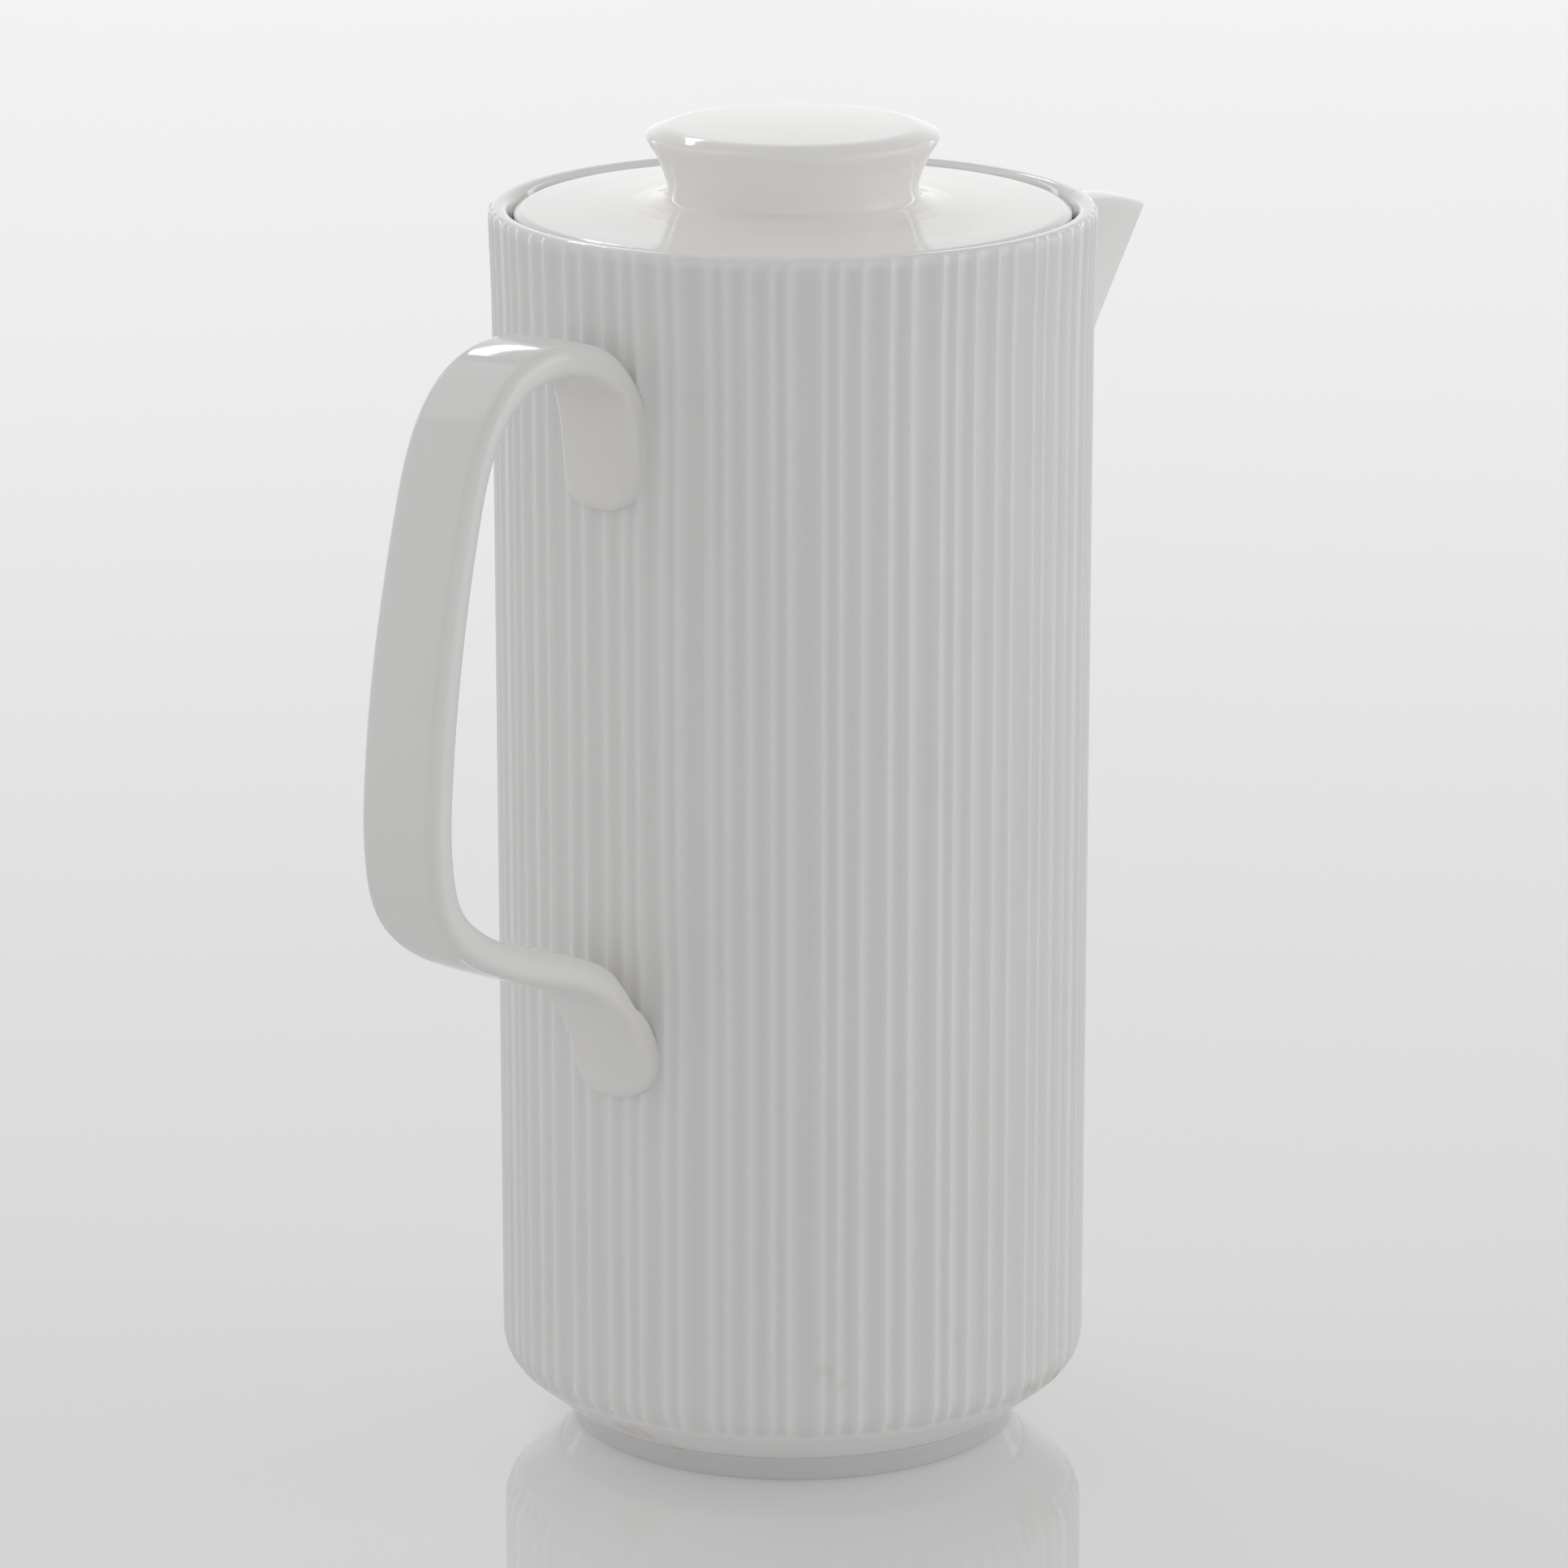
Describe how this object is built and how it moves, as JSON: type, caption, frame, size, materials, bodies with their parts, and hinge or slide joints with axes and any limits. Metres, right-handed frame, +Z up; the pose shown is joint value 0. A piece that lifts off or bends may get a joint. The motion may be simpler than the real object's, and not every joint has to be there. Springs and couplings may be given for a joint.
{
  "type": "coffee pot",
  "caption": "Tall cylindrical porcelain coffee pot with a fluted wall, a beak spout, a strap handle and a flat lift-off lid with a mushroom knob.",
  "frame": {"origin": "on the body's axis, on the surface that the foot ring stands on", "axes": "+Z up along the body's axis, +X towards the spout, -X towards the handle"},
  "size_m": [0.2069, 0.104, 0.2307],
  "materials": {
    "fluted_glaze": "clear gloss glaze over white porcelain, slightly cool, pooled in the flutes",
    "foot_glaze": "gloss glaze, wiped off the face it stands on",
    "inside_glaze": "gloss glaze with faint coffee stain",
    "spout_glaze": "clear gloss glaze over white porcelain",
    "handle_glaze": "clear gloss glaze over white porcelain",
    "lid_glaze": "clear gloss glaze over white porcelain",
    "knob_glaze": "clear gloss glaze over white porcelain"
  },
  "bodies": {
    "pot": {"pot_body": "fluted_glaze", "foot_ring": "foot_glaze", "lid_ledge": "inside_glaze", "spout": "spout_glaze", "handle": "handle_glaze"},
    "lid": {"lid_disc": "lid_glaze", "lid_collar": "inside_glaze", "lid_knob": "knob_glaze"}
  },
  "joints": [
    {"name": "lid_lift", "type": "slide", "parent": "pot", "child": "lid", "axis": [0, 0, 1], "range_m": [0, 0.06]}
  ]
}
